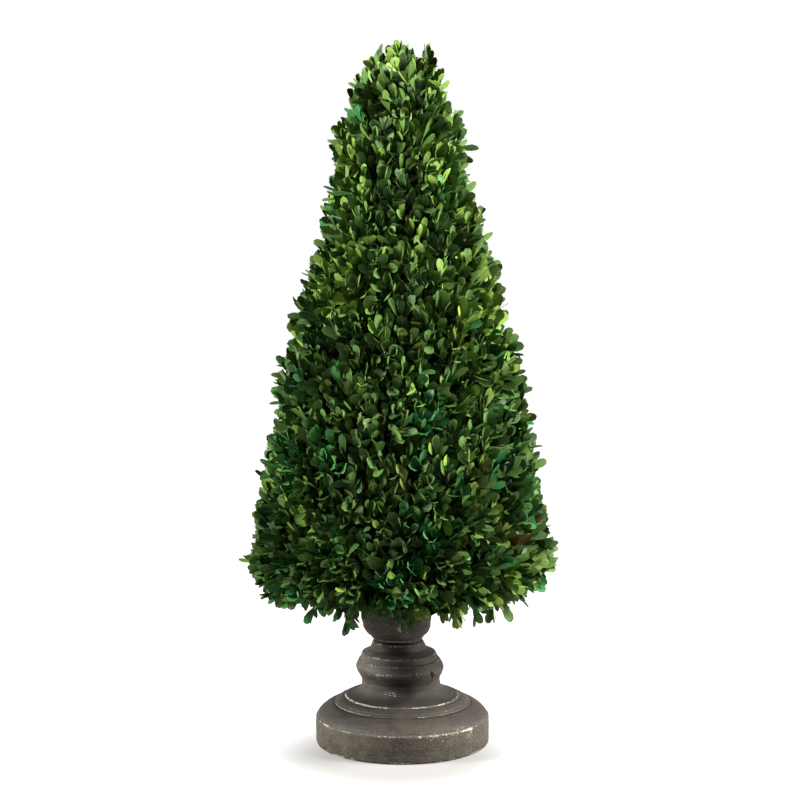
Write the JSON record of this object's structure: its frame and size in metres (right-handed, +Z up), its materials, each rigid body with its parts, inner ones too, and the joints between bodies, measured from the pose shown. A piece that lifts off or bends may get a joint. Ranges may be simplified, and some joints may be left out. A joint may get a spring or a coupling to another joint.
{
  "type": "boxwood cone topiary",
  "caption": "Clipped boxwood cone in the cup of a low turned wooden pedestal, with a short stem hidden inside the foliage.",
  "frame": {"origin": "centre of the pedestal's flat underside, on the surface it stands on", "axes": "+Z up along the cone, -Y towards the front, +X to the right seen from the front"},
  "size_m": [0.3359, 0.3392, 0.76],
  "materials": {
    "pedestal_wood": "weathered dark grey-brown, worn pale on the edges",
    "fill": "rough, dark",
    "bark": "rough bark",
    "leaves": "satin leaves"
  },
  "bodies": {
    "root": {"pedestal_plinth": "pedestal_wood", "pedestal_neck": "pedestal_wood", "pedestal_knop": "pedestal_wood", "pedestal_cup": "pedestal_wood", "cup_fill": "fill", "stem": "bark", "foliage_skirt": "leaves", "foliage_lower": "leaves", "foliage_middle": "leaves", "foliage_upper": "leaves", "foliage_tip": "leaves"}
  },
  "joints": []
}
